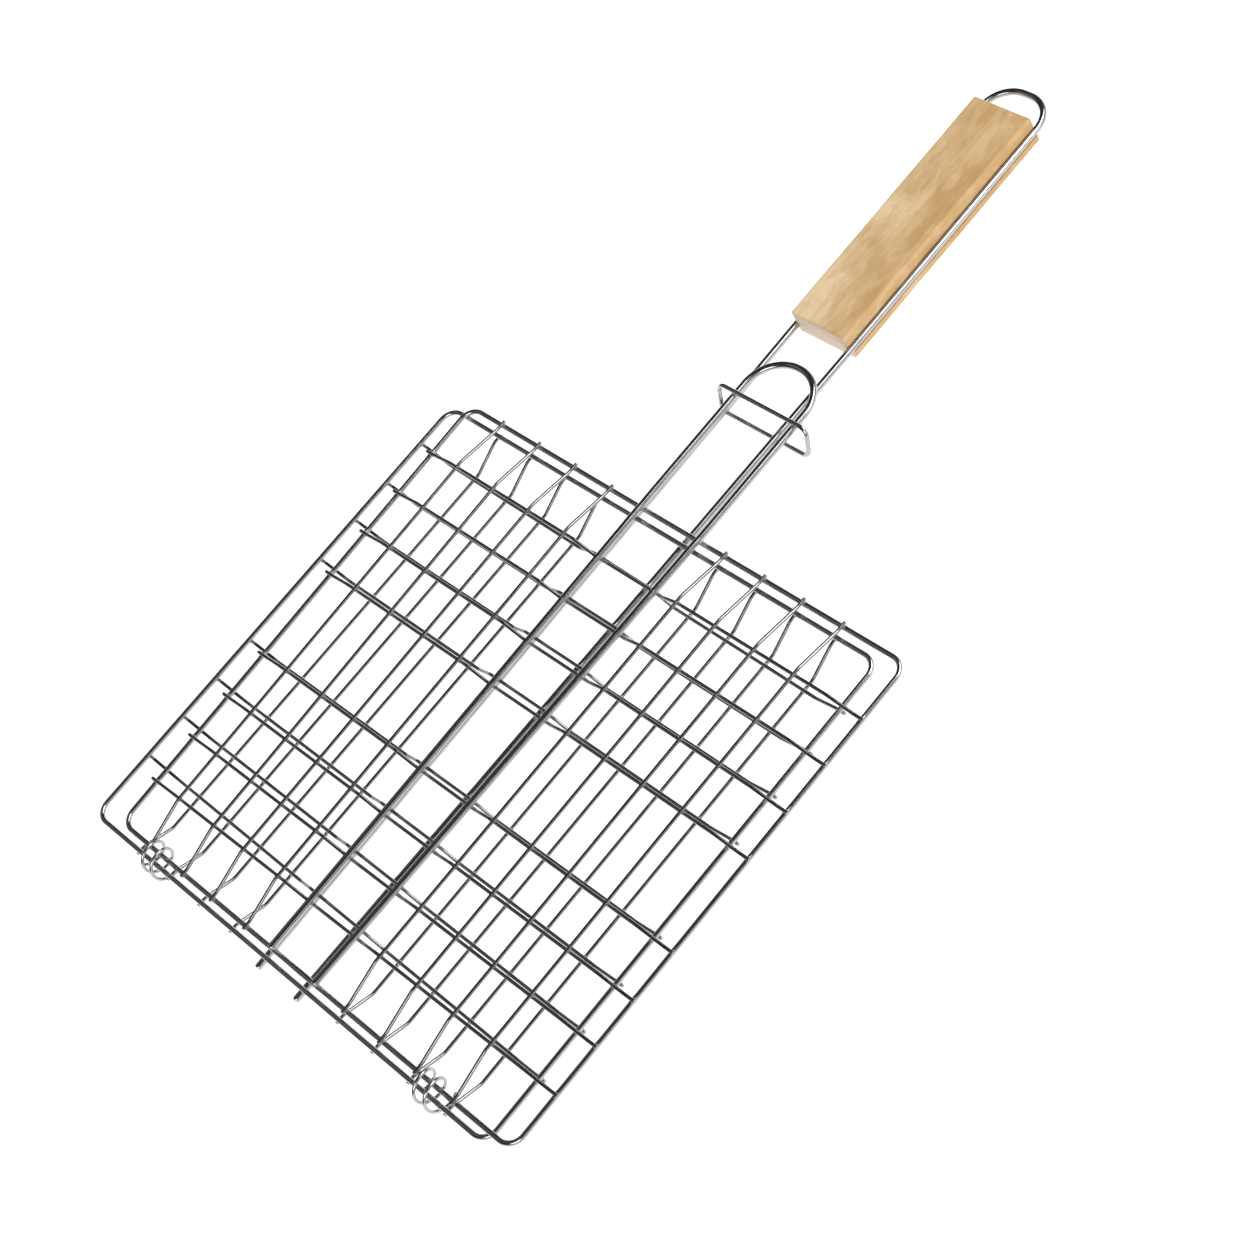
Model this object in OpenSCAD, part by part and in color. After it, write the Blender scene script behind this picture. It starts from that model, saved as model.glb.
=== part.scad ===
// Folding wire grill basket with a wooden grip. Units are millimetres.
// The base tray lies flat, the handle runs along +Y, and the lid tray is closed on top of it.
// The origin is under the middle of the whole object, on the plane it rests on.

/* [Trays] */
// Width of each tray frame, wire centre to wire centre
tray_width = 241; // [200:1:280]
// Length of each tray frame from the hinge side to the handle side
tray_length = 220; // [180:1:260]
// Corner radius of the tray frames
corner_radius = 6.5; // [4:0.5:20]
// How far the base tray is dished down
base_dish = 6; // [3:0.5:20]
// How far the lid tray is dished up
lid_dish = 4.8; // [3:0.2:20]
// How far the closed lid sits to the side of the base
lid_shift_x = 11.3; // [0:0.1:14]
// How far the closed lid sits toward the handle
lid_shift_y = 4.1; // [3:0.1:5]
// Height of the lid frame above the base frame
lid_rise = 2.3; // [2.2:0.05:4]
// How far the near left corner of the lid frame stands in
lid_near_in = 4.5; // [0:0.1:6]
// How far the far left corner of the lid frame stands out
lid_far_out = 1.2; // [0:0.1:3]

/* [Wires] */
// Diameter of the frame wires
frame_wire = 2.2; // [1.5:0.1:4]
// Diameter of the cross wires and long wires
mesh_wire = 1.5; // [1:0.1:3]
// Diameter of the handle wires
handle_wire = 3; // [2:0.1:5]
// How deep two welded wires sink into each other
weld_depth = 0.1; // [0:0.01:0.2]
// How far mesh wire ends stand past the middle of the frame wire
wire_overhang = 1.7; // [1:0.1:4]

/* [Mesh] */
// Distance between neighbouring cross wires
cross_pitch = 21.5; // [15:0.1:25]
// First cross wire of the base, from the hinge wire
base_cross_start = 29.3; // [15:0.1:40]
// First cross wire of the lid, from the hinge wire
lid_cross_start = 21.8; // [15:0.1:40]
// Distance between neighbouring long wires
long_pitch = 20.6; // [15:0.1:25]
// Innermost long wire of the base, from the middle of the mesh
base_long_inner = 33.2; // [28:0.1:45]
// Innermost long wire of the lid, from the middle of the mesh
lid_long_inner = 32.2; // [28:0.1:45]
// Sideways position of the middle of the base mesh
base_mesh_x = 3.6; // [-10:0.1:10]
// Sideways position of the middle of the lid mesh
lid_mesh_x = -4.4; // [-10:0.1:10]

/* [Handle] */
// Sideways position of the base handle
base_handle_x = 3.1; // [-10:0.1:10]
// Sideways position of the lid handle
lid_handle_x = -2.4; // [-10:0.1:10]
// How far the lid handle drifts sideways on its way to its loop
lid_handle_drift = 1.1; // [-2:0.1:2]
// Half the gap between the base handle legs at the hinge side
base_leg_near = 11.8; // [8:0.1:20]
// Half the gap between the base handle legs in the grip
base_leg_far = 14.5; // [8:0.1:20]
// Half the gap between the lid handle legs at the hinge side
lid_leg_near = 13.3; // [8:0.1:20]
// Half the gap between the lid handle legs at the lid loop
lid_leg_far = 16.2; // [8:0.1:20]
// How far the base handle legs stand out past the hinge wire
leg_tail = 5; // [2:0.5:10]
// Where the lid handle loop ends, from the lid hinge wire
lid_loop_end = 300.1; // [260:0.1:310]
// Start of the wooden grip, from the base hinge wire
grip_start = 323.5; // [315:0.5:360]
// Length of the wooden grip
grip_length = 120; // [80:1:160]
// Width of the wooden grip
grip_width = 32; // [28:0.5:45]
// Thickness of the wooden grip
grip_thickness = 12; // [8:0.5:20]
// How far the upper right edge of the grip is set back, so the wire in its groove shows
grip_set_back = 1.8; // [0:0.1:2]
// How far the hanging loop stands out of the grip
hang_reach = 13.1; // [12.8:0.1:20]

/* [Locking ring] */
// Diameter of the ring wire
ring_wire = 1.9; // [1.2:0.1:3]
// Width of the ring, wire centre to wire centre
ring_width = 48; // [46:0.5:60]
// Height of the ring, wire centre to wire centre
ring_height = 13.6; // [13:0.1:20]
// Corner radius of the ring
ring_corner = 3.6; // [2:0.1:6]
// Position of the ring along the handle
ring_place = 280; // [240:1:310]
// Lean of the ring toward the grip, in degrees
ring_lean = 20; // [0:1:22]

/* [Hinge coils] */
// Diameter of the coil wire
coil_wire = 1.4; // [1:0.1:2]
// Mean radius of the coils
coil_radius = 6; // [5.5:0.1:7]
// Advance of the coil in one turn
coil_pitch = 5.9; // [4:0.1:6]
// Number of turns of each coil
coil_turns = 2.2; // [1.5:0.1:2.2]

/* [Hidden] */
$fn = 48;
steel = [0.72, 0.73, 0.75];
beech = [0.80, 0.66, 0.48];
fr = frame_wire / 2;
mr = mesh_wire / 2;
hr = handle_wire / 2;
end_z = fr + mr - weld_depth;
leg_z = fr + hr - weld_depth;
mid_z = leg_z - hr - mr + weld_depth;
// bends are a hair thicker than the straight runs that end inside them
swell = 0.03;
lap = 0.06;
base_bend_y = grip_start - 5.5;
lid_bend_y = tray_length + 8;
lid_tail = 0.4;
half_width = tray_width / 2;
grip_end = grip_start + grip_length;
hang_end = grip_end + hang_reach;
shift_x = -lid_shift_x / 2;
shift_y = -(hang_end + hr - leg_tail) / 2;
shift_z = base_dish + 3 * mr - weld_depth;
slots = [0, 1, 2, 3, 5, 6, 7, 8];
columns = [-3, -2, -1, 0, 0, 1, 2, 3];
// hand-made wires are never quite square: sideways or lengthwise error at the two ends of each wire
base_cross_left = [2, 1.2, 0, -0.9, 0, 0, -1, -0.7];
base_cross_right = [0, 0.5, -0.2, -0.2, 0, 0, -1.2, -3.5];
lid_cross_left = [-1, 0, -0.4, 0, -0.4, 0, 0, 0];
lid_cross_right = [2.2, 2, 0.8, 0.8, 0, 0, 0.2, 0];
lid_long_near = [2.8, 4.9, 3.4, 4.4, 0.7, 1.2, 0.9, 0.6];
lid_long_far = [-2.6, -0.8, 0.2, 1, 0.7, 0.5, 0.3, 0];
coil_sides = 10;
coil_steps = ceil(28 * coil_turns);

// ---- helpers ----

function unit(v) = v / norm(v);

function turn(p, i) = let (a = p[i] - p[i - 1], b = p[i + 1] - p[i])
    atan2(a[0] * b[1] - a[1] * b[0], a[0] * b[0] + a[1] * b[1]);

function trim(p, i, bend) = (i == 0 || i == len(p) - 1) ? 0 : bend * tan(abs(turn(p, i)) / 2);

// a value that changes evenly from the start of a handle leg to its first bend
function along(near, far, tail, reach, y) = near + (far - near) * (y + tail) / (reach + tail);

// how far the left side of the lid frame stands in at a place along the tray
function lid_in(y) = lid_near_in - (lid_near_in + lid_far_out) * y / tray_length;

// the turn that takes a wire from one end error to the other
function skew(start, finish, length) = atan((finish - start) / length);

// which side of the mesh middle a long wire is on, and how far out
function long_x(i, inner) = (i < 4 ? -1 : 1) * inner + columns[i] * long_pitch;

// a wire bent in the flat XY plane: straight runs joined by round bends
module bent_wire(p, bend, d) {
    last = len(p) - 1;
    union() {
        for (i = [0 : last - 1]) {
            u = unit(p[i + 1] - p[i]);
            a = p[i] + u * (i == 0 ? 0 : trim(p, i, bend) - lap);
            b = p[i + 1] - u * (i == last - 1 ? 0 : trim(p, i + 1, bend) - lap);
            translate([a[0], a[1], 0]) rotate([0, 90, atan2(u[1], u[0])])
                cylinder(d = d, h = norm(b - a));
        }
        for (i = [1 : last - 1]) {
            t = turn(p, i);
            s = t > 0 ? 1 : -1;
            u = unit(p[i] - p[i - 1]);
            side = [-u[1], u[0]] * s;
            c = p[i] - u * trim(p, i, bend) + side * bend;
            a0 = atan2(-side[1], -side[0]);
            translate([c[0], c[1], 0]) rotate([0, 0, s > 0 ? a0 : a0 + t])
                rotate_extrude(angle = abs(t)) translate([bend, 0]) circle(d = d + swell);
        }
    }
}

// a closed loop of wire bent in the flat XY plane
module closed_wire(p, bend, d) {
    n = len(p);
    q = concat([p[n - 1]], p, [p[0], p[1]]);
    union() {
        for (i = [1 : n]) {
            u = unit(q[i + 1] - q[i]);
            a = q[i] + u * (bend * tan(abs(turn(q, i)) / 2) - lap);
            b = q[i + 1] - u * (bend * tan(abs(turn(q, i + 1)) / 2) - lap);
            translate([a[0], a[1], 0]) rotate([0, 90, atan2(u[1], u[0])])
                cylinder(d = d, h = norm(b - a));
        }
        for (i = [1 : n]) {
            t = turn(q, i);
            u = unit(q[i] - q[i - 1]);
            side = [-u[1], u[0]];
            c = q[i] - u * bend * tan(t / 2) + side * bend;
            translate([c[0], c[1], 0]) rotate([0, 0, atan2(-side[1], -side[0])])
                rotate_extrude(angle = t) translate([bend, 0]) circle(d = d + swell);
        }
    }
}

// a closed rectangle of wire with round corners, standing on the X axis from y = 0 to y = length
module wire_rectangle(width, length, corner, d) {
    union() {
        for (s = [-1, 1]) {
            translate([s * width / 2, corner - lap, 0]) rotate([-90, 0, 0])
                cylinder(d = d, h = length - 2 * corner + 2 * lap);
        }
        for (y = [0, length]) {
            translate([corner - width / 2 - lap, y, 0]) rotate([0, 90, 0])
                cylinder(d = d, h = width - 2 * corner + 2 * lap);
        }
        for (q = [0 : 3]) {
            side = q == 0 || q == 3 ? 1 : -1;
            translate([side * (width / 2 - corner), q < 2 ? length - corner : corner, 0])
                rotate([0, 0, 90 * q]) rotate_extrude(angle = 90)
                translate([corner, 0]) circle(d = d + swell);
        }
    }
}

// a cross wire across one tray, dished on both sides of the handle legs
module cross_wire(dish, handle_x, half, inset) {
    left = inset - half_width;
    rotate([90, 0, 0]) bent_wire([
        [left - wire_overhang, end_z], [left + 2.5, end_z],
        [left + 15, dish], [handle_x - half - 13.5, dish],
        [handle_x - half - 3.2, mid_z], [handle_x + half + 3.2, mid_z],
        [handle_x + half + 13.5, dish], [half_width - 15, dish],
        [half_width - 2.5, end_z], [half_width + wire_overhang, end_z]
    ], 4, mesh_wire);
}

// a long wire along one tray, lying on the outside of the cross wires
module long_wire(dish, run_near, run_far) {
    top = dish + 2 * mr - weld_depth;
    rotate([90, 0, 90]) bent_wire([
        [-wire_overhang, end_z], [2.6, end_z], [run_near, top],
        [tray_length - run_far, top], [tray_length - 2.6, end_z],
        [tray_length + wire_overhang, end_z]
    ], 6, mesh_wire);
}

module in_base() {
    translate([shift_x, shift_y, shift_z]) mirror([0, 0, 1]) children();
}

module in_lid() {
    translate([shift_x + lid_shift_x, shift_y + lid_shift_y, shift_z + lid_rise]) children();
}

module base_cross(i) {
    y = base_cross_start + slots[i] * cross_pitch;
    half = along(base_leg_near, base_leg_far, leg_tail, base_bend_y, y);
    start = base_cross_left[i];
    finish = base_cross_right[i];
    color(steel) in_base() translate([0, y + (start + finish) / 2, 0])
        rotate([0, 0, skew(start, finish, tray_width)]) cross_wire(base_dish, base_handle_x, half, 0);
}

module lid_cross(i) {
    y = lid_cross_start + slots[i] * cross_pitch;
    half = along(lid_leg_near, lid_leg_far, lid_tail, lid_bend_y, y);
    x = along(lid_handle_x, lid_handle_x + lid_handle_drift, lid_tail, lid_bend_y, y);
    start = lid_cross_left[i];
    finish = lid_cross_right[i];
    color(steel) in_lid() translate([0, y + (start + finish) / 2, 0])
        rotate([0, 0, skew(start, finish, tray_width)]) cross_wire(lid_dish, x, half, lid_in(y));
}

module base_long(i) {
    color(steel) in_base() translate([base_mesh_x + long_x(i, base_long_inner), 0, 0])
        long_wire(base_dish, 15, 16.5);
}

module lid_long(i) {
    start = lid_long_near[i];
    finish = lid_long_far[i];
    color(steel) in_lid() translate([lid_mesh_x + long_x(i, lid_long_inner) + start, 0, 0])
        rotate([0, 0, -skew(start, finish, tray_length)]) long_wire(lid_dish, 20.5, 23.5);
}

// a round bar coiled along X, as one swept skin
function coil_point(k, m, phase) = let (
    a = 360 * coil_turns * k / coil_steps + phase,
    b = 360 * m / coil_sides,
    r = coil_radius + coil_wire / 2 * cos(b)
) [coil_pitch * coil_turns * k / coil_steps + coil_wire / 2 * sin(b), r * cos(a), r * sin(a)];

module coil(phase) {
    n = coil_sides;
    points = [for (k = [0 : coil_steps]) for (m = [0 : n - 1]) coil_point(k, m, phase)];
    skin = [for (k = [0 : coil_steps - 1]) for (m = [0 : n - 1])
        [k * n + m, (k + 1) * n + m, (k + 1) * n + (m + 1) % n, k * n + (m + 1) % n]];
    start = [[for (m = [0 : n - 1]) m]];
    finish = [[for (m = [0 : n - 1]) coil_steps * n + n - 1 - m]];
    polyhedron(points = points, faces = concat(skin, start, finish));
}

module hinge_coil(x, phase) {
    color(steel)
        translate([shift_x + x - coil_pitch * coil_turns / 2, shift_y + lid_shift_y / 2,
            shift_z + lid_rise / 2]) coil(phase);
}

// ---- sub-parts ----

module base_frame() {
    color(steel) in_base() wire_rectangle(tray_width, tray_length, corner_radius, frame_wire);
}

module lid_frame() {
    color(steel) in_lid() closed_wire([
        [lid_in(0) - half_width, 0], [half_width, 0],
        [half_width, tray_length], [lid_in(tray_length) - half_width, tray_length]
    ], corner_radius, frame_wire);
}

module base_handle_wire() {
    x = base_handle_x;
    color(steel) in_base() translate([0, 0, leg_z]) bent_wire([
        [x - base_leg_near, -leg_tail], [x - base_leg_far, base_bend_y],
        [x - base_leg_far, hang_end], [x + base_leg_far, hang_end],
        [x + base_leg_far, base_bend_y], [x + base_leg_near, -leg_tail]
    ], base_leg_far - 1.7, handle_wire);
}

module lid_handle_wire() {
    x = lid_handle_x;
    end = lid_handle_x + lid_handle_drift;
    color(steel) in_lid() translate([0, 0, leg_z]) bent_wire([
        [x - lid_leg_near, -lid_tail], [end - lid_leg_far, lid_bend_y],
        [end - lid_leg_far, lid_loop_end], [end + lid_leg_far, lid_loop_end],
        [end + lid_leg_far, lid_bend_y], [x + lid_leg_near, -lid_tail]
    ], lid_leg_far - 0.3, handle_wire);
}

// rounded rectangle outline with its corner at the origin
module rounded_outline(w, h, r) {
    union() {
        translate([r, 0]) square([w - 2 * r, h]);
        translate([0, r]) square([w, h - 2 * r]);
        for (x = [r, w - r]) for (y = [r, h - r]) translate([x, y]) circle(r = r);
    }
}

module wooden_grip() {
    low = -leg_z - grip_thickness / 2 + 1;
    color(beech) translate([shift_x + base_handle_x, shift_y, shift_z]) difference() {
        intersection() {
            translate([-grip_width / 2, grip_start, low - 1]) linear_extrude(height = grip_thickness + 2)
                rounded_outline(grip_width, grip_length, 2.5);
            translate([-grip_width / 2, grip_end + 1, low]) rotate([90, 0, 0])
                linear_extrude(height = grip_length + 2) union() {
                    rounded_outline(grip_width - grip_set_back, grip_thickness, 1.5);
                    rounded_outline(grip_width, -leg_z - low, 1.5);
                }
        }
        for (s = [-1, 1]) {
            translate([s * base_leg_far, grip_start - 1, -leg_z]) rotate([-90, 0, 0])
                cylinder(d = handle_wire, h = grip_length + 2);
            translate([s > 0 ? base_leg_far : -base_leg_far - 5, grip_start - 1, -leg_z - hr])
                cube([5, grip_length + 2, handle_wire]);
        }
    }
}

module locking_ring() {
    middle = lid_rise / 2;
    color(steel) translate([shift_x + 9.8, shift_y + ring_place, shift_z + middle])
        rotate([90 - ring_lean, 0, 0]) translate([0, -ring_height / 2, 0])
        wire_rectangle(ring_width, ring_height, ring_corner, ring_wire);
}

module hinge_coil_left() { hinge_coil(-78.95, 215); }

module hinge_coil_right() { hinge_coil(89.45, 250); }

base_frame();
base_cross(0);  // base_cross_wire_1
base_cross(1);  // base_cross_wire_2
base_cross(2);  // base_cross_wire_3
base_cross(3);  // base_cross_wire_4
base_cross(4);  // base_cross_wire_5
base_cross(5);  // base_cross_wire_6
base_cross(6);  // base_cross_wire_7
base_cross(7);  // base_cross_wire_8
base_long(0);  // base_long_wire_1
base_long(1);  // base_long_wire_2
base_long(2);  // base_long_wire_3
base_long(3);  // base_long_wire_4
base_long(4);  // base_long_wire_5
base_long(5);  // base_long_wire_6
base_long(6);  // base_long_wire_7
base_long(7);  // base_long_wire_8
base_handle_wire();
wooden_grip();
lid_frame();
lid_cross(0);  // lid_cross_wire_1
lid_cross(1);  // lid_cross_wire_2
lid_cross(2);  // lid_cross_wire_3
lid_cross(3);  // lid_cross_wire_4
lid_cross(4);  // lid_cross_wire_5
lid_cross(5);  // lid_cross_wire_6
lid_cross(6);  // lid_cross_wire_7
lid_cross(7);  // lid_cross_wire_8
lid_long(0);  // lid_long_wire_1
lid_long(1);  // lid_long_wire_2
lid_long(2);  // lid_long_wire_3
lid_long(3);  // lid_long_wire_4
lid_long(4);  // lid_long_wire_5
lid_long(5);  // lid_long_wire_6
lid_long(6);  // lid_long_wire_7
lid_long(7);  // lid_long_wire_8
lid_handle_wire();
hinge_coil_left();
hinge_coil_right();
locking_ring();
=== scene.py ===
import math

import bmesh
import bpy
import numpy as np
from mathutils import Matrix, Vector


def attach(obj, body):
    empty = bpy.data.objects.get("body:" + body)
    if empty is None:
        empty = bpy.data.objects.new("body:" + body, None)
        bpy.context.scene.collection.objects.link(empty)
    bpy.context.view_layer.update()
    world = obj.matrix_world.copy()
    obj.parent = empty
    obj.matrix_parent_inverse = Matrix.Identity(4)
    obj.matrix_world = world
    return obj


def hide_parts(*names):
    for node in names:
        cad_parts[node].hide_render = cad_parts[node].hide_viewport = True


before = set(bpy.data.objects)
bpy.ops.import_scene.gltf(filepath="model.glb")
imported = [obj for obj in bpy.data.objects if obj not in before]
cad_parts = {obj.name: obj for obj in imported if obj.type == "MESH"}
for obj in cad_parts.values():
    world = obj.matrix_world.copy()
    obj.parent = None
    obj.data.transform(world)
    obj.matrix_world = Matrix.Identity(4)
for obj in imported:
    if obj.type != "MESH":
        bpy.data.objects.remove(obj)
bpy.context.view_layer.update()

# ---------------------------------------------------------------- sizes (millimetres)

WIDTH, LENGTH, CORNER = 241.0, 220.0, 6.5
FRAME_D, MESH_D, LEG_D, RING_D, COIL_D = 2.2, 1.5, 3.0, 1.9, 1.4
SINK = 0.1                      # how deep welded wires lie in each other
OVERHANG = 1.7                  # how far the mesh wires stick out past the middle of the frame wire
END_Z = FRAME_D / 2 + MESH_D / 2 - SINK
LEG_Z = FRAME_D / 2 + LEG_D / 2 - SINK
MID_Z = LEG_Z - LEG_D / 2 - MESH_D / 2 + SINK
TOUCH_Z = FRAME_D / 2 - SINK / 2
SLOTS = (0, 1, 2, 3, 5, 6, 7, 8)
LONG_PITCH, CROSS_PITCH = 20.6, 21.5
SLOPE_X, FLAT_X = 15, 2.5       # cross wires: where they reach the dish, and their flat ends
STEP_OUT, STEP_IN = 13.5, 3.2   # cross wires: the step over a handle leg, from its start to its end
FLAT_Y = 2.6                    # long wires: their flat ends

GRIP_START, GRIP_LENGTH, GRIP_W, GRIP_T = 323.5, 120.0, 32.0, 12.0
GRIP_Z = 1 - LEG_Z              # middle of its thickness
GRIP_BACK = 1.8                 # how far one side stands back above its groove
GROOVE_X = 14.5
HANG_END = GRIP_START + GRIP_LENGTH + 13.1

RING_W, RING_H, RING_CORNER, RING_LEAN = 48.0, 13.6, 3.6, 20
RING_AT = (9.8, 280, 1.15)
COIL_RADIUS, COIL_PITCH, COIL_TURNS = 6.0, 5.9, 2.2
COIL_AXIS = (2.05, 1.15)

SHIFT = np.array([-11.3 / 2, -(HANG_END + LEG_D / 2 - 5) / 2, 6 + 1.5 * MESH_D - SINK])

# The two halves. Places along a half run from its hinge side, and heights point outward from its frame.
#   dish             height of its mesh
#   start, inner     place of the first cross wire, and of the innermost long wires on both sides
#   mesh_x, leg_x    middle of the mesh, and of the handle legs at the hinge side
#   near, far        half the distance between the legs, at the hinge side and at `reach`
#   tail             how far the legs stick out at the hinge side
#   runs             where the long wires reach the dish, from the hinge side and from the other side
#   loop, bend       where the handle's loop ends, and the radius of its bends
#   move, up         its place in the closed basket, and the direction of its heights
#   drift            how far the middle of the legs has moved at `reach`
#   near_in, far_out how far the left side of the frame is off at its two ends
#   cross_*, long_*  how far the ends of the mesh wires are off their even places
BASE = dict(name="base", dish=6.0, start=29.3, inner=33.2, mesh_x=3.6, leg_x=3.1, near=11.8,
            far=14.5, tail=5.0, runs=(15.0, 16.5), loop=HANG_END, move=(0, 0, 0), up=-1,
            reach=GRIP_START - 5.5, bend=14.5 - 1.7, drift=0.0, near_in=0.0, far_out=0.0,
            cross_left=(2, 1.2, 0, -0.9, 0, 0, -1, -0.7),
            cross_right=(0, 0.5, -0.2, -0.2, 0, 0, -1.2, -3.5),
            long_near=(0,) * 8, long_far=(0,) * 8)
LID = dict(name="lid", dish=4.8, start=21.8, inner=32.2, mesh_x=-4.4, leg_x=-2.4, near=13.3,
           far=16.2, tail=0.4, runs=(20.5, 23.5), loop=300.1, move=(11.3, 4.1, 2.3), up=1,
           reach=LENGTH + 8, bend=16.2 - 0.3, drift=1.1, near_in=4.5, far_out=1.2,
           cross_left=(-1, 0, -0.4, 0, -0.4, 0, 0, 0),
           cross_right=(2.2, 2, 0.8, 0.8, 0, 0, 0.2, 0),
           long_near=(2.8, 4.9, 3.4, 4.4, 0.7, 1.2, 0.9, 0.6),
           long_far=(-2.6, -0.8, 0.2, 1, 0.7, 0.5, 0.3, 0))


def place(half, p):
    """Points of one half, in millimetres with +z outward, moved to the shared frame in metres."""
    p = np.atleast_2d(np.array(p, float)).copy()
    p[:, 2] *= half["up"]
    return (p + np.array(half["move"]) + SHIFT) / 1000


def leg_share(half, y):
    """How much of the legs' spread and drift is reached, at a place along them."""
    return (y + half["tail"]) / (half["reach"] + half["tail"])


def leg_half(half, y):
    return half["near"] + (half["far"] - half["near"]) * leg_share(half, y)


def leg_mid(half, y):
    return half["leg_x"] + half["drift"] * leg_share(half, y)


def leg_places(half, y):
    return [leg_mid(half, y) + s * leg_half(half, y) for s in (-1, 1)]


def left_side(half, y):
    """Where the left side of the frame is, at a place along it."""
    return half["near_in"] - (half["near_in"] + half["far_out"]) * y / LENGTH - WIDTH / 2


def long_x(half, i, y):
    """Sideways place of a long wire, at a place along the tray."""
    k = (3, 2, 1, 0, 0, 1, 2, 3)[i]
    x = half["mesh_x"] + (-1 if i < 4 else 1) * (half["inner"] + k * LONG_PITCH)
    return x + half["long_near"][i] + (half["long_far"][i] - half["long_near"][i]) * y / LENGTH


def cross_y(half, i, x):
    """Lengthwise place of a cross wire, at a place across the tray."""
    a, b = half["cross_left"][i], half["cross_right"][i]
    return half["start"] + SLOTS[i] * CROSS_PITCH + (a + b) / 2 + (b - a) * x / WIDTH


# ---------------------------------------------------------------- swept wires


def rounded(points, bend, closed=False, step=5.0):
    """Corners of a path in one plane turned into round bends. Returns the points along it."""
    p = [np.array(q, float) for q in points]
    n = len(p)
    out = []
    for i in range(n):
        if not closed and i in (0, n - 1):
            out.append(p[i])
            continue
        a, b = p[i] - p[i - 1], p[(i + 1) % n] - p[i]
        a, b = a / np.linalg.norm(a), b / np.linalg.norm(b)
        angle = math.acos(float(np.clip(a @ b, -1, 1)))
        if angle < 1e-4:
            out.append(p[i])
            continue
        cut = bend * math.tan(angle / 2)
        side = b - a * (a @ b)
        side /= np.linalg.norm(side)
        start = p[i] - a * cut
        steps = max(3, int(math.ceil(math.degrees(angle) / step)))
        for k in range(steps + 1):
            t = angle * k / steps
            out.append(start + a * bend * math.sin(t) + side * bend * (1 - math.cos(t)))
    return np.array(out)


def hashed(*words):
    """A fixed number from 0 to 1 for any set of words."""
    h = 2166136261
    for ch in "/".join(str(w) for w in words):
        h = ((h ^ ord(ch)) * 16777619) & 0xFFFFFFFF
    h ^= h >> 15
    h = (h * 2246822519) & 0xFFFFFFFF
    return ((h ^ (h >> 13)) & 0xFFFFFF) / 0xFFFFFF


def dense(path, welds, closed, reach, spacing=0.009):
    """Extra points on the straight runs: close together beside each weld, else far apart. Metres."""
    out = []
    n = len(path)
    for i in range(n if closed else n - 1):
        a, b = path[i], path[(i + 1) % n]
        length = float(np.linalg.norm(b - a))
        out.append(a)
        if length < 0.0012:
            continue
        u = (b - a) / length
        marks = {0.0}
        for w in welds:
            s = float((w - a) @ u)
            if np.linalg.norm(a + u * s - w) < reach * 2.2 and -reach * 2 < s < length + reach * 2:
                for k in range(-7, 8):
                    q = s + k * reach / 3.2
                    if 0.0002 < q < length - 0.0002:
                        marks.add(round(q, 6))
        marks = sorted(marks) + [length]
        full = []
        for s, e in zip(marks, marks[1:]):
            parts = max(1, int(math.ceil((e - s) / spacing)))
            full += [s + (e - s) * k / parts for k in range(parts)]
        last = 0.0
        for s in full[1:]:
            if s - last > 0.00016 and length - s > 0.00016:
                out.append(a + u * s)
                last = s
    if not closed:
        out.append(path[-1])
    return np.array(out)


def skin(along, around, wrap=None):
    """Faces over rings of points, and their corners unwrapped. `along` says where each ring lies. The
    ends are capped, unless `wrap` says where the first ring comes round again."""
    m = len(along)
    faces, uvs = [], []
    for i in range(m - 1 if wrap is None else m):
        j = (i + 1) % m
        s0, s1 = along[i], along[j] if j else wrap
        for k in range(around):
            l = (k + 1) % around
            faces.append((i * around + k, i * around + l, j * around + l, j * around + k))
            uvs.append(((s0, k / around), (s0, (k + 1) / around),
                        (s1, (k + 1) / around), (s1, k / around)))
    if wrap is None:
        faces.append(tuple(range(around - 1, -1, -1)))
        uvs.append(tuple((0.0, k / around) for k in range(around - 1, -1, -1)))
        faces.append(tuple((m - 1) * around + k for k in range(around)))
        uvs.append(tuple((along[-1], k / around) for k in range(around)))
    return faces, uvs


# A cut end is slightly rounded: how far from the end, in wire diameters, and the share of the radius.
CUT_END = [(0.0, 0.74), (0.045, 0.90), (0.13, 0.975)]
CUT_LENGTH = 0.26

# How far a weld's raised metal, its heat and a butt joint's bulge spread along a wire, in wire radii.
SKIRT, HEAT, BULGE = 1.15, 2.3, 0.55
BULGE_HEIGHT = 0.13
SWAY_LENGTH = 0.055     # metres
MESH_SWAY = 0.07        # millimetres


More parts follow.
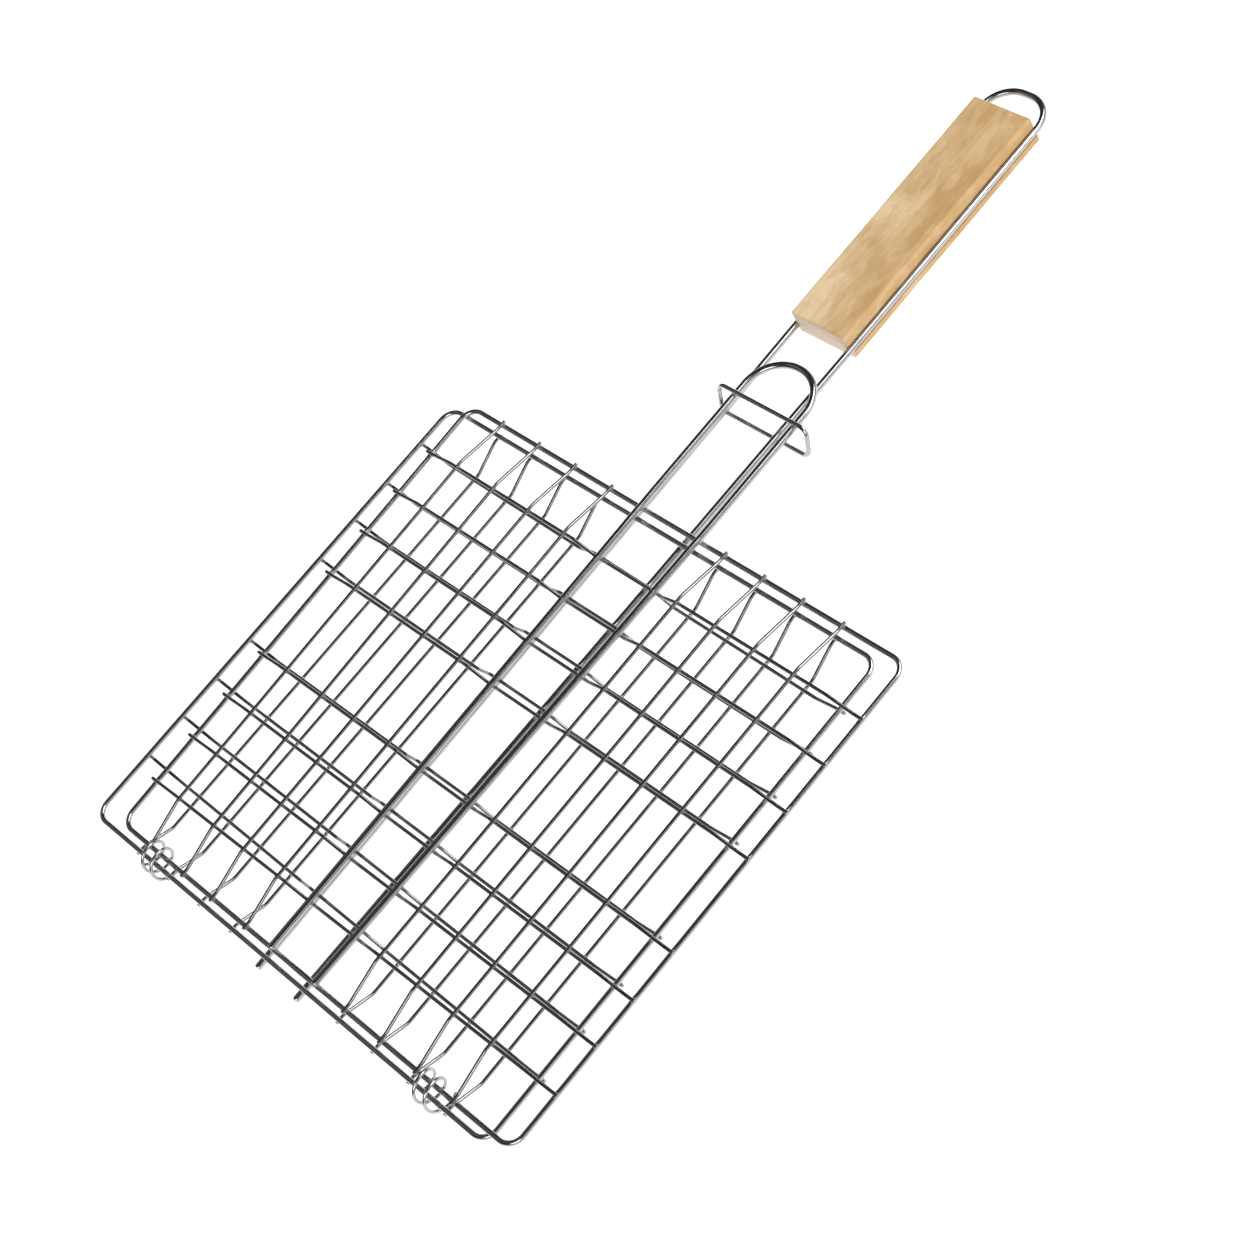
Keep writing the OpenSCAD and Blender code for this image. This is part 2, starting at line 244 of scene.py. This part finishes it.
def sweep(name, path, plane, d, sides=20, welds=(), closed=False, swell=0.3, wobble=0.0,
          joint=None, painted_lightness=1.0):
    """A round wire along a flat path, with cut ends, and the metal raised where it is welded."""
    r = d / 2000
    plane = np.array(plane, float)
    plane = plane / np.linalg.norm(plane)
    welds = [np.array(w, float) for w in welds]
    path = dense(np.array(path, float), welds, closed, r * 1.5)
    n = len(path)
    ahead = np.roll(path, -1, 0) - path
    if not closed:
        ahead[-1] = ahead[-2]
    ahead /= np.linalg.norm(ahead, axis=1)[:, None]
    behind = np.roll(ahead, 1, 0)
    if not closed:
        behind[0] = ahead[0]
    tangent = ahead + behind
    tangent /= np.linalg.norm(tangent, axis=1)[:, None]
    run = np.concatenate([[0], np.cumsum(np.linalg.norm(np.diff(path, axis=0), axis=1))])
    total = run[-1]
    if closed:
        rings = [(path[i], tangent[i], 1.0, run[i]) for i in range(n)]
    else:
        cut = [(offset * d / 1000, scale) for offset, scale in CUT_END + [(CUT_LENGTH, 1.0)]]
        edge = 0.3 * d / 1000
        rings = [(path[0] + tangent[0] * offset, tangent[0], scale, offset) for offset, scale in cut]
        rings += [(path[i], tangent[i], 1.0, run[i]) for i in range(n) if edge < run[i] < total - edge]
        rings += [(path[-1] - tangent[-1] * offset, tangent[-1], scale, total - offset)
                  for offset, scale in reversed(cut)]
    phase = [6.283 * hashed(name, k) for k in range(4)]
    verts, heat, along = [], [], []
    for centre, t, scale, s in rings:
        side = np.cross(plane, t)
        side /= np.linalg.norm(side)
        hot = 0.0
        pulls = []
        for w in welds:
            gap = w - centre
            if abs(gap @ t) < r * 5 and np.linalg.norm(gap) < r * 6:
                g = math.exp(-((gap @ t) / (r * SKIRT)) ** 2)
                flat = gap - t * (gap @ t)
                m = np.linalg.norm(flat)
                if m > 1e-7:
                    pulls.append((g, flat / m))
                hot = max(hot, math.exp(-((gap @ t) / (r * HEAT)) ** 2))
        bulge = 0.0
        if joint is not None and np.linalg.norm(joint - centre) < r * 6:
            g = math.exp(-(float((joint - centre) @ t) / (r * BULGE)) ** 2)
            bulge = BULGE_HEIGHT * g
            hot = max(hot, g ** 0.4)
        sway = np.zeros(3)
        if wobble:
            q = s / SWAY_LENGTH
            sideways = math.sin(q + phase[0]) + 0.5 * math.sin(2.3 * q + phase[1])
            upward = 0.4 * (math.sin(1.3 * q + phase[2]) + 0.5 * math.sin(2.9 * q + phase[3]))
            sway = (side * sideways + plane * upward) * wobble / 1000
        for k in range(sides):
            angle = 2 * math.pi * k / sides
            ray = side * math.cos(angle) + plane * math.sin(angle)
            grow = 1.0 + bulge
            for g, toward in pulls:
                c = float(ray @ toward)
                grow += swell * g * max(0.0, c + 0.25) ** 1.4 - 0.03 * g * max(0.0, -c)
            verts.append(centre + sway + ray * r * scale * grow)
            heat.append(hot)
        along.append(s)
    wrap = total + float(np.linalg.norm(path[0] - path[-1])) if closed else None
    return finish_mesh(name, verts, *skin(along, sides, wrap), heat, painted_lightness=painted_lightness)


def finish_mesh(name, verts, faces, uvs, heat, sharp=42, painted_lightness=1.0):
    """A smooth-shaded object, with the place along the wire and the marks that its material reads."""
    mesh = bpy.data.meshes.new(name)
    mesh.from_pydata([tuple(v) for v in verts], [], faces)
    mesh.update()
    layer = mesh.uv_layers.new(name="run")
    flat = [c for face in uvs for c in face]
    layer.data.foreach_set("uv", np.array(flat, np.float32).ravel())
    # the second mark is painted shade: 0 darkens a wire's colour, 1 leaves it at full brightness
    for key, values in (("heat", heat), ("painted_lightness", np.full(len(verts), painted_lightness))):
        mark = mesh.attributes.new(key, "FLOAT", "POINT")
        mark.data.foreach_set("value", np.array(values, np.float32))
    bm = bmesh.new()
    bm.from_mesh(mesh)
    bmesh.ops.recalc_face_normals(bm, faces=bm.faces)
    bm.to_mesh(mesh)
    bm.free()
    mesh.shade_smooth()
    mesh.set_sharp_from_angle(angle=math.radians(sharp))
    obj = bpy.data.objects.new(name, mesh)
    bpy.context.scene.collection.objects.link(obj)
    return obj


# ---------------------------------------------------------------- materials


def new_material(name):
    mat = bpy.data.materials.new(name)
    mat.use_nodes = True
    tree = mat.node_tree
    tree.nodes.clear()
    out = tree.nodes.new("ShaderNodeOutputMaterial")
    shader = tree.nodes.new("ShaderNodeBsdfPrincipled")
    tree.links.new(shader.outputs[0], out.inputs["Surface"])
    return mat, tree, shader


def add(tree, kind, inputs=None, **settings):
    node = tree.nodes.new(kind)
    for key, value in settings.items():
        setattr(node, key, value)
    for key, value in (inputs or {}).items():
        if isinstance(value, bpy.types.NodeSocket):
            tree.links.new(value, node.inputs[key])
        else:
            node.inputs[key].default_value = value
    return node


def scaled(tree, vector, scale):
    return add(tree, "ShaderNodeVectorMath", {0: vector, 1: scale}, operation="MULTIPLY").outputs[0]


def noise(tree, vector, scale, detail=3.0, rough=0.5, distortion=0.0):
    return add(tree, "ShaderNodeTexNoise", {"Vector": vector, "Scale": scale, "Detail": detail,
                                            "Roughness": rough, "Distortion": distortion}).outputs["Fac"]


def mapped(tree, value, low, high, to_low, to_high):
    return add(tree, "ShaderNodeMapRange", {"Value": value, "From Min": low, "From Max": high,
                                            "To Min": to_low, "To Max": to_high}).outputs["Result"]


def mixed(tree, factor, a, b, blend="MIX"):
    node = add(tree, "ShaderNodeMix", data_type="RGBA", blend_type=blend)
    for socket, value in ((node.inputs[0], factor), (node.inputs[6], a), (node.inputs[7], b)):
        if isinstance(value, bpy.types.NodeSocket):
            tree.links.new(value, socket)
        else:
            socket.default_value = value
    return node.outputs[2]


def sums(tree, a, b, operation="ADD"):
    return add(tree, "ShaderNodeMath", {0: a, 1: b}, operation=operation).outputs[0]


def plated_metal():
    """Bright plated wire: fine lines along it, dull film in patches, darker and duller at the welds, and
    painted shade that darkens the thin mesh wires below the thicker wires of the same plating.
    """
    mat, tree, shader = new_material("plated_wire")
    where = add(tree, "ShaderNodeTexCoord").outputs["Object"]
    run = add(tree, "ShaderNodeUVMap", uv_map="run").outputs["UV"]
    heat = add(tree, "ShaderNodeAttribute", attribute_name="heat").outputs["Fac"]
    painted_lightness = add(tree, "ShaderNodeAttribute", attribute_name="painted_lightness").outputs["Fac"]
    patches = noise(tree, where, 55.0, 4.0, 0.6)
    fine = noise(tree, where, 900.0, 3.0, 0.6)
    lines = noise(tree, scaled(tree, run, (60.0, 26.0, 1.0)), 1.0, 4.0, 0.65)
    film = mapped(tree, patches, 0.42, 0.72, 0.0, 1.0)
    # painted shade: the thin mesh wires get a darker colour than the frame, handle, ring and coil wires,
    # though all share one plating
    tint = mixed(tree, painted_lightness, (0.33, 0.33, 0.345, 1), (0.50, 0.50, 0.51, 1))
    tint = mixed(tree, mapped(tree, film, 0.0, 1.0, 0.0, 0.5), tint, (0.31, 0.305, 0.30, 1))
    tint = mixed(tree, mapped(tree, fine, 0.35, 0.75, 0.0, 0.12), tint, (0.28, 0.28, 0.28, 1))
    tint = mixed(tree, mapped(tree, heat, 0.25, 1.0, 0.0, 0.30), tint, (0.27, 0.26, 0.245, 1))
    tree.links.new(tint, shader.inputs["Base Color"])
    shader.inputs["Metallic"].default_value = 1.0
    rough = sums(tree, mapped(tree, film, 0.0, 1.0, 0.15, 0.21),
                 mapped(tree, lines, 0.3, 0.7, 0.0, 0.04))
    rough = sums(tree, rough, mapped(tree, heat, 0.2, 1.0, 0.0, 0.16))
    tree.links.new(rough, shader.inputs["Roughness"])
    relief = sums(tree, mapped(tree, lines, 0.3, 0.7, 0.0, 1.0), mapped(tree, fine, 0.3, 0.7, 0.0, 0.8))
    relief = sums(tree, relief, sums(tree, mapped(tree, fine, 0.3, 0.7, 0.0, 2.0), heat, "MULTIPLY"))
    bump = add(tree, "ShaderNodeBump", {"Strength": 0.16, "Distance": 0.00003, "Height": relief})
    tree.links.new(bump.outputs[0], shader.inputs["Normal"])
    return mat


def hardwood():
    """Bare sanded light hardwood: mottled cream and gold, brown flecks, fine fibres, paler end grain,
    and painted light that pales it towards the near left and darkens it towards the far right.
    """
    mat, tree, shader = new_material("wood_grip")
    where = add(tree, "ShaderNodeTexCoord").outputs["Object"]
    spot = add(tree, "ShaderNodeSeparateXYZ", {0: where})
    sway = noise(tree, scaled(tree, where, (40.0, 16.0, 40.0)), 1.0, 3.0, 0.6)
    aside = add(tree, "ShaderNodeCombineXYZ", {"X": mapped(tree, sway, 0.0, 1.0, -0.010, 0.010)})
    bent = add(tree, "ShaderNodeVectorMath", {0: where, 1: aside.outputs[0]}).outputs[0]
    clouds = noise(tree, scaled(tree, bent, (70.0, 24.0, 70.0)), 1.0, 4.0, 0.62, 0.6)
    mottle = noise(tree, scaled(tree, where, (210.0, 85.0, 210.0)), 1.0, 4.0, 0.6, 0.5)
    fibre = noise(tree, scaled(tree, bent, (1300.0, 45.0, 1300.0)), 1.0, 4.0, 0.6)
    streak = noise(tree, scaled(tree, bent, (330.0, 16.0, 330.0)), 1.0, 3.0, 0.6)
    pores = noise(tree, scaled(tree, bent, (2400.0, 200.0, 2400.0)), 1.0, 2.0, 0.5)
    # painted light: the colour is paled towards the near left and darkened towards the far right, as
    # light falls across the grip
    drift = sums(tree, mapped(tree, spot.outputs["X"], -0.0185, 0.0135, 0.36, -0.48),
                 mapped(tree, spot.outputs["Y"], 0.098, 0.218, 0.28, -0.42))
    pale = sums(tree, mapped(tree, clouds, 0.30, 0.70, -0.15, 1.15), drift)
    colour = mixed(tree, mapped(tree, pale, 0.0, 1.0, 0.0, 1.0),
                   (0.56, 0.345, 0.140, 1), (0.83, 0.63, 0.385, 1))
    colour = mixed(tree, mapped(tree, mottle, 0.50, 0.74, 0.0, 0.55), colour, (0.50, 0.285, 0.110, 1))
    colour = mixed(tree, mapped(tree, mottle, 0.47, 0.28, 0.0, 0.40), colour, (0.82, 0.62, 0.39, 1))
    colour = mixed(tree, mapped(tree, streak, 0.54, 0.78, 0.0, 0.40), colour, (0.46, 0.27, 0.11, 1))
    colour = mixed(tree, mapped(tree, fibre, 0.35, 0.7, 0.0, 0.18), colour, (0.47, 0.29, 0.13, 1))
    colour = mixed(tree, mapped(tree, pores, 0.66, 0.80, 0.0, 0.4), colour, (0.30, 0.17, 0.08, 1))
    # end grain shows where the surface faces along the fibres
    normal = add(tree, "ShaderNodeTexCoord").outputs["Normal"]
    facing = add(tree, "ShaderNodeSeparateXYZ", {0: normal}).outputs["Y"]
    ends = mapped(tree, sums(tree, facing, 0.0, "ABSOLUTE"), 0.45, 0.9, 0.0, 1.0)
    spots = noise(tree, where, 1700.0, 3.0, 0.6)
    grain = mixed(tree, mapped(tree, spots, 0.35, 0.7, 0.0, 0.6),
                  (0.80, 0.66, 0.53, 1), (0.66, 0.48, 0.33, 1))
    rays = noise(tree, scaled(tree, where, (60.0, 60.0, 900.0)), 1.0, 2.0, 0.5)
    grain = mixed(tree, mapped(tree, rays, 0.4, 0.7, 0.0, 0.35), grain, (0.62, 0.44, 0.29, 1))
    colour = mixed(tree, ends, colour, grain)
    tree.links.new(colour, shader.inputs["Base Color"])
    rough = sums(tree, mapped(tree, fibre, 0.3, 0.7, 0.50, 0.66),
                 mapped(tree, pores, 0.66, 0.8, 0.0, 0.15))
    tree.links.new(rough, shader.inputs["Roughness"])
    shader.inputs["Specular IOR Level"].default_value = 0.35
    relief = sums(tree, mapped(tree, fibre, 0.3, 0.7, 0.0, 1.0),
                  mapped(tree, pores, 0.66, 0.8, 0.0, -1.6))
    relief = sums(tree, relief, mapped(tree, streak, 0.3, 0.7, 0.0, 0.6))
    bump = add(tree, "ShaderNodeBump", {"Strength": 0.5, "Distance": 0.00006, "Height": relief})
    tree.links.new(bump.outputs[0], shader.inputs["Normal"])
    return mat


METAL = plated_metal()
WOOD = hardwood()


def settle(obj, node, body, material=METAL):
    """Gives a piece its material and its body, and hides the node it stands for."""
    obj.data.materials.append(material)
    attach(obj, body)
    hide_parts(node)
    return obj


# ---------------------------------------------------------------- the two trays


def tray(half):
    """Frame wire, mesh wires and handle wire of one half."""
    name, dish = half["name"], half["dish"]
    top = dish + MESH_D - SINK
    cross_touch = dish + MESH_D / 2 - SINK / 2
    every = range(8)
    nominal = [half["start"] + s * CROSS_PITCH for s in SLOTS]

    frame_welds = [(left_side(half, nominal[i]), cross_y(half, i, -WIDTH / 2), TOUCH_Z) for i in every]
    frame_welds += [(WIDTH / 2, cross_y(half, i, WIDTH / 2), TOUCH_Z) for i in every]
    frame_welds += [(long_x(half, i, y), y, TOUCH_Z) for i in every for y in (0, LENGTH)]
    frame_welds += [(x, y, TOUCH_Z) for y in (0, LENGTH) for x in leg_places(half, y)]
    corners = [(left_side(half, 0), 0, 0), (left_side(half, LENGTH), LENGTH, 0),
               (WIDTH / 2, LENGTH, 0), (WIDTH / 2, 0, 0)]
    loop = rounded(corners, CORNER, closed=True)
    butt = (3, 0) if half["up"] > 0 else (-38, LENGTH)
    shut = place(half, (half["leg_x"] + butt[0], butt[1], 0))[0]
    obj = sweep(name + "_frame_wire", place(half, loop), (0, 0, 1), FRAME_D, 24,
                place(half, frame_welds), closed=True, swell=0.16, joint=shut)
    settle(obj, name + "_frame", name)

    for i in every:
        y = nominal[i]
        h, mid, left = leg_half(half, y), leg_mid(half, y), left_side(half, y)
        bends = [(left - OVERHANG, END_Z), (left + FLAT_X, END_Z), (left + SLOPE_X, dish),
                 (mid - h - STEP_OUT, dish), (mid - h - STEP_IN, MID_Z),
                 (mid + h + STEP_IN, MID_Z), (mid + h + STEP_OUT, dish),
                 (WIDTH / 2 - SLOPE_X, dish), (WIDTH / 2 - FLAT_X, END_Z),
                 (WIDTH / 2 + OVERHANG, END_Z)]
        bends = [(x, cross_y(half, i, x), z) for x, z in bends]
        turn = math.atan((half["cross_right"][i] - half["cross_left"][i]) / WIDTH)
        welds = [(x, cross_y(half, i, x), TOUCH_Z) for x in [left, WIDTH / 2] + leg_places(half, y)]
        for k in every:
            x = long_x(half, k, y)
            welds.append((x, cross_y(half, i, x), cross_touch))
        # painted shade: cross wires get the darker painted colour of the mesh
        obj = sweep(f"{name}_cross_{i + 1}", place(half, rounded(bends, 4)),
                    (-math.sin(turn), math.cos(turn), 0), MESH_D, 18, place(half, welds),
                    wobble=MESH_SWAY, painted_lightness=0.0)
        settle(obj, f"{name}_cross_wire_{i + 1}", name)

    near, far = half["runs"]
    for i in every:
        bends = [(-OVERHANG, END_Z), (FLAT_Y, END_Z), (near, top), (LENGTH - far, top),
                 (LENGTH - FLAT_Y, END_Z), (LENGTH + OVERHANG, END_Z)]
        bends = [(long_x(half, i, y), y, z) for y, z in bends]
        turn = math.atan((half["long_far"][i] - half["long_near"][i]) / LENGTH)
        welds = [(long_x(half, i, y), y, TOUCH_Z) for y in (0, LENGTH)]
        for k in every:
            y = cross_y(half, k, long_x(half, i, nominal[k]))
            welds.append((long_x(half, i, y), y, cross_touch))
        # painted shade: long wires get the darker painted colour of the mesh
        obj = sweep(f"{name}_long_{i + 1}", place(half, rounded(bends, 6)),
                    (math.cos(turn), -math.sin(turn), 0), MESH_D, 18, place(half, welds),
                    wobble=MESH_SWAY, painted_lightness=0.0)
        settle(obj, f"{name}_long_wire_{i + 1}", name)

    tail, end, reach = half["tail"], half["loop"], half["reach"]
    left, right = leg_places(half, -tail)
    far_left, far_right = leg_places(half, reach)
    bends = [(left, -tail), (far_left, reach), (far_left, end),
             (far_right, end), (far_right, reach), (right, -tail)]
    bends = [(x, y, LEG_Z) for x, y in bends]
    welds = [(x, y, TOUCH_Z) for y in (0, LENGTH) for x in leg_places(half, y)]
    welds += [(x, cross_y(half, i, x), TOUCH_Z) for i in every for x in leg_places(half, nominal[i])]
    obj = sweep(name + "_handle_rod", place(half, rounded(bends, half["bend"], step=4)),
                (0, 0, 1), LEG_D, 28, place(half, welds), swell=0.10)
    settle(obj, name + "_handle_wire", name)


tray(BASE)
tray(LID)


# ---------------------------------------------------------------- locking ring and hinge coils


def locking_ring():
    w, h = RING_W / 2, RING_H / 2
    outline = rounded([(-w, -h, 0), (-w, h, 0), (w, h, 0), (w, -h, 0)], RING_CORNER, closed=True)
    lean = math.radians(RING_LEAN)
    up = np.array([0, math.sin(lean), math.cos(lean)])
    centre = np.array(RING_AT) + SHIFT
    path = np.array([(centre + np.array([p[0], 0, 0]) + up * p[1]) / 1000 for p in outline])
    normal = np.cross([1, 0, 0], up)
    shut = (centre + np.array([7.0, 0, 0]) - up * h) / 1000
    obj = sweep("ring_wire", path, normal, RING_D, 22, closed=True, joint=shut)
    settle(obj, "locking_ring", "ring")


def coil(name, node, x, phase):
    """A coil round both hinge wires, with its middle at x."""
    r, sides, steps = COIL_D / 2000, 18, 150
    start = np.array([x - COIL_PITCH * COIL_TURNS / 2, *COIL_AXIS]) + SHIFT
    one_turn = math.hypot(2 * math.pi * COIL_RADIUS, COIL_PITCH)
    slope = COIL_PITCH / (2 * math.pi * COIL_RADIUS)
    edge = CUT_LENGTH * COIL_D / one_turn
    spots = [(o * COIL_D / one_turn, scale) for o, scale in CUT_END]
    spots += [(edge + (COIL_TURNS - 2 * edge) * k / steps, 1.0) for k in range(steps + 1)]
    spots += [(COIL_TURNS - o * COIL_D / one_turn, scale) for o, scale in reversed(CUT_END)]
    verts = []
    for turn, scale in spots:
        a = 2 * math.pi * turn + math.radians(phase)
        out = np.array([0, math.cos(a), math.sin(a)])
        t = np.array([slope, -math.sin(a), math.cos(a)])
        t /= np.linalg.norm(t)
        side = np.cross(t, out)
        centre = (start + np.array([COIL_PITCH * turn, 0, 0]) + out * COIL_RADIUS) / 1000
        for k in range(sides):
            b = 2 * math.pi * k / sides
            verts.append(centre + (out * math.cos(b) + side * math.sin(b)) * r * scale)
    faces, uvs = skin([turn * one_turn / 1000 for turn, _ in spots], sides)
    settle(finish_mesh(name, verts, faces, uvs, [0.0] * len(verts)), node, "coils")


locking_ring()
coil("coil_wire_left", "hinge_coil_left", -78.95, 215)
coil("coil_wire_right", "hinge_coil_right", 89.45, 250)


# ---------------------------------------------------------------- wooden grip


def grip_outline(wide):
    """Half of the section, from the middle of the top to the middle of the bottom, with a groove in
    its side. Each point also says how far out its own part of the side may reach."""
    w, low = GRIP_W / 2, GRIP_Z - GRIP_T / 2
    top = low + GRIP_T
    r, g, lip = 1.5, LEG_D / 2, 0.45
    gx, gz = GROOVE_X, -LEG_Z
    crown = 0.18
    pts = [(x, top - crown * (x / w) ** 2) for x in np.linspace(0, wide - r, 9)]
    edge = top - crown * ((wide - r) / w) ** 2
    pts += [(wide - r + r * math.sin(a), edge - r + r * math.cos(a))
            for a in np.radians(np.linspace(9, 90, 10))]
    pts += [(wide, gz + g + lip + 0.9)]
    pts += [(wide - lip + lip * math.cos(a), gz + g + lip - lip * math.sin(a))
            for a in np.radians(np.linspace(0, 90, 5))]
    pts = [(x, z, wide) for x, z in pts]
    inside = math.degrees(math.asin(min(1.0, max(0.0, (gx - wide + lip) / g))))
    groove = [(gx - g * math.sin(a), gz + g * math.cos(a))
              for a in np.radians(np.linspace(inside, 180, 15))]
    groove += [(w - lip + lip * math.sin(a), gz - g - lip + lip * math.cos(a))
               for a in np.radians(np.linspace(0, 90, 5))]
    groove += [(w - r + r * math.cos(a), low + r - r * math.sin(a))
               for a in np.radians(np.linspace(0, 90, 10))]
    groove += [(x, low) for x in np.linspace(w - r, 0, 9)[1:]]
    return pts + [(x, z, w) for x, z in groove]


def drawn_in(t, radius):
    """How far a rounded edge stands back, at a distance t from the end."""
    return radius - math.sqrt(radius ** 2 - (radius - min(t, radius)) ** 2)


def wooden_grip():
    left = [(-x, z, reach) for x, z, reach in grip_outline(GRIP_W / 2)]
    section = grip_outline(GRIP_W / 2 - GRIP_BACK) + left[-2:0:-1]
    ends = [0.0, 0.03, 0.12, 0.28, 0.5, 0.75, 1.0, 1.4, 1.9, 2.5]
    stations = (ends + list(np.linspace(6, GRIP_LENGTH - 6, 27))
                + [GRIP_LENGTH - y for y in reversed(ends)])
    centre = SHIFT + np.array([BASE["leg_x"], GRIP_START, 0])
    verts = []
    for y in stations:
        t = min(y, GRIP_LENGTH - y)
        pull_x, pull_side, pull_z = drawn_in(t, 2.5), drawn_in(t, 0.9), drawn_in(t, 1.0)
        tall = GRIP_T / 2 - pull_z
        sand = 0.10 * math.sin(y * 0.09 + 0.7) * math.sin(y * 0.031 + 0.3)
        for x, z, reach in section:
            xx = min(abs(x), GRIP_W / 2 - pull_x, reach - pull_side)
            if abs(x) > reach - 0.8:
                xx = min(xx, abs(x) - 0.12 + sand)
            zz = GRIP_Z + max(-tall, min(tall, z - GRIP_Z))
            verts.append((centre + np.array([xx if x > 0 else -xx, y, zz])) / 1000)
    faces, uvs = skin([y / 1000 for y in stations], len(section))
    obj = finish_mesh("grip_wood", verts, faces, uvs, [0.0] * len(verts), sharp=38)
    settle(obj, "wooden_grip", "base", WOOD)


wooden_grip()


# ---------------------------------------------------------------- floor, light and camera


def stage_floor():
    mesh = bpy.data.meshes.new("floor")
    r = 6.0
    mesh.from_pydata([(-r, -r, 0), (r, -r, 0), (r, r, 0), (-r, r, 0)], [], [(0, 1, 2, 3)])
    mesh.update()
    floor = bpy.data.objects.new("floor", mesh)
    bpy.context.scene.collection.objects.link(floor)
    mat, tree, shader = new_material("floor_paper")
    shader.inputs["Base Color"].default_value = (0.35, 0.35, 0.35, 1)
    shader.inputs["Roughness"].default_value = 0.9
    shader.inputs["Specular IOR Level"].default_value = 0.0
    shader.inputs["Emission Color"].default_value = (1, 1, 1, 1)
    shader.inputs["Emission Strength"].default_value = 1.02
    mesh.materials.append(mat)


def soft_box(name, at, aim, size, power, mirrored=True):
    data = bpy.data.lights.new(name, "AREA")
    data.shape = "RECTANGLE"
    data.size, data.size_y = size
    data.energy = power
    lamp = bpy.data.objects.new(name, data)
    lamp.location = at
    lamp.rotation_euler = (Vector(aim) - Vector(at)).to_track_quat("-Z", "Y").to_euler()
    lamp.visible_glossy = mirrored
    bpy.context.scene.collection.objects.link(lamp)


def world_light():
    """White behind everything, and a dark room for the wires to mirror."""
    world = bpy.data.worlds.new("studio")
    bpy.context.scene.world = world
    world.use_nodes = True
    tree = world.node_tree
    tree.nodes.clear()
    out = tree.nodes.new("ShaderNodeOutputWorld")
    seen = add(tree, "ShaderNodeBackground", {"Color": (1, 1, 1, 1), "Strength": 1.0})
    room = add(tree, "ShaderNodeBackground", {"Color": (0.04, 0.04, 0.043, 1), "Strength": 1.0})
    path = add(tree, "ShaderNodeLightPath")
    mix = add(tree, "ShaderNodeMixShader", {0: path.outputs["Is Camera Ray"],
                                            1: room.outputs[0], 2: seen.outputs[0]})
    tree.links.new(mix.outputs[0], out.inputs["Surface"])


stage_floor()
world_light()
soft_box("box_right", (1.7, -0.1, 0.75), (0, 0, 0), (2.6, 0.6), 5)
soft_box("box_near", (0.80, -0.98, 0.92), (0, -0.2, 0), (0.9, 0.7), 8)
soft_box("box_far", (0.45, 1.25, 1.15), (0, 0, 0), (1.2, 0.8), 14)
soft_box("box_grip", (0.72, 0.62, 0.86), (0, 0.16, 0), (0.42, 1.3), 5.0)
soft_box("box_left", (-0.90, -0.45, 1.15), (0, -0.1, 0), (1.0, 0.7), 0.4)
soft_box("fill_top", (-0.3, 0.1, 2.2), (0, 0, 0), (2.0, 2.0), 17, mirrored=False)

cam_data = bpy.data.cameras.new("camera")
cam_data.lens = 75.81
cam_data.sensor_width = 36.0
cam_data.clip_start = 0.01
cam_data.clip_end = 50.0
camera = bpy.data.objects.new("camera", cam_data)
right = Vector((0.676593, 0.633789, -0.374878))
up = Vector((-0.429134, 0.753090, 0.498697))
back = Vector((0.598386, -0.176542, 0.781516))
at = Vector((0.611785, -0.220851, 0.788005))
camera.matrix_world = Matrix(((right.x, up.x, back.x, at.x), (right.y, up.y, back.y, at.y),
                              (right.z, up.z, back.z, at.z), (0, 0, 0, 1)))
bpy.context.scene.collection.objects.link(camera)
bpy.context.scene.camera = camera
bpy.context.scene.view_settings.view_transform = "Standard"
